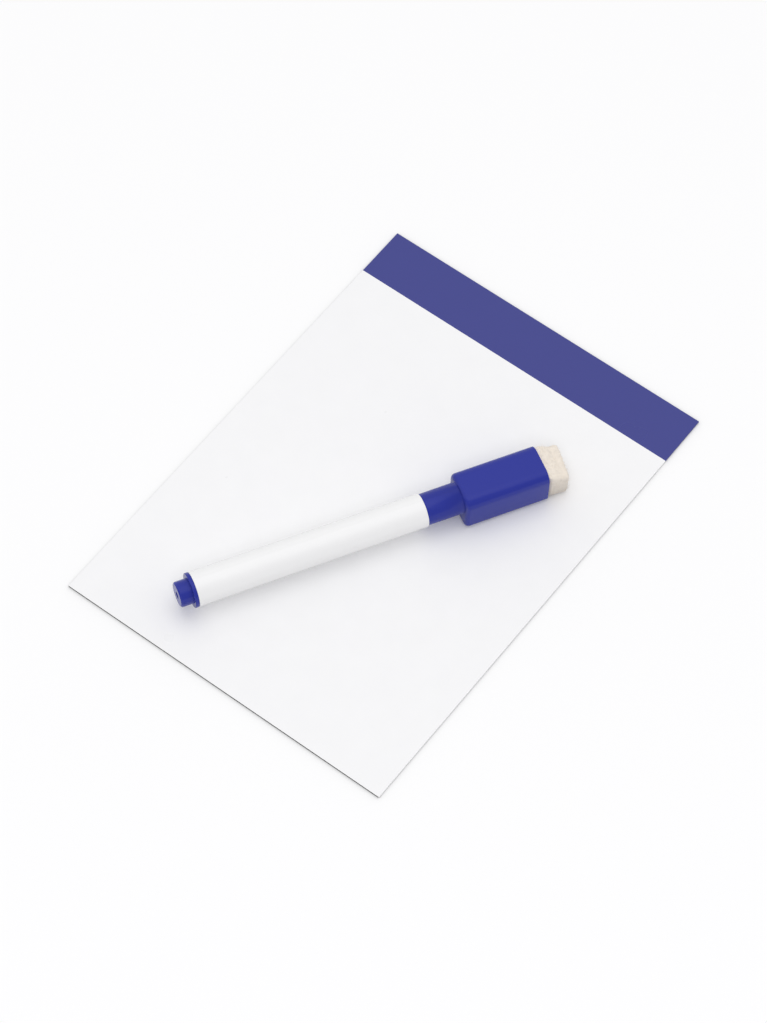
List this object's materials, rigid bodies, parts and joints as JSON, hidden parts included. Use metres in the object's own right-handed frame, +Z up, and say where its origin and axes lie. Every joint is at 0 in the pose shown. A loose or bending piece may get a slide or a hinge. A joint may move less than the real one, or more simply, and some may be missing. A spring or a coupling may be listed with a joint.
{
  "type": "magnetic board",
  "caption": "Thin rectangular magnetic dry-wipe sheet with a coloured header band, and a slim capped marker with a square eraser cap lying level on it.",
  "frame": {"origin": "centre of the board's underside, on the surface that it lies on", "axes": "+Y along the board's length towards the header band, +X across its width to the right, +Z up out of the writing face"},
  "size_m": [0.105, 0.148, 0.0131],
  "materials": {
    "magnet_rubber": "matt",
    "white_film": "satin gloss",
    "blue_film": "satin gloss",
    "barrel_plastic": "gloss",
    "plug_plastic": "gloss",
    "ink_fibre": "matt fibre",
    "wrap_film": "clear film",
    "nib_fibre": "matt fibre",
    "cap_plastic": "satin gloss",
    "felt": "pressed felt",
    "magnet_ferrite": "matt sintered"
  },
  "bodies": {
    "board": {"magnetic_sheet": "magnet_rubber", "dry_wipe_film": "white_film", "header_band": "blue_film"},
    "marker": {"barrel": "barrel_plastic", "end_plug": "plug_plastic", "ink_reservoir": "ink_fibre", "reservoir_wrap": "wrap_film", "nib": "nib_fibre"},
    "cap": {"cap": "cap_plastic", "eraser_felt": "felt", "cap_magnet": "magnet_ferrite"}
  },
  "joints": [
    {"name": "marker_lift", "type": "slide", "parent": "board", "child": "marker", "axis": [0, 0, 1], "range_m": [0, 0.03]},
    {"name": "cap_pull", "type": "slide", "parent": "marker", "child": "cap", "axis": [0.5045, 0.8634, 0], "range_m": [0, 0.03]}
  ]
}
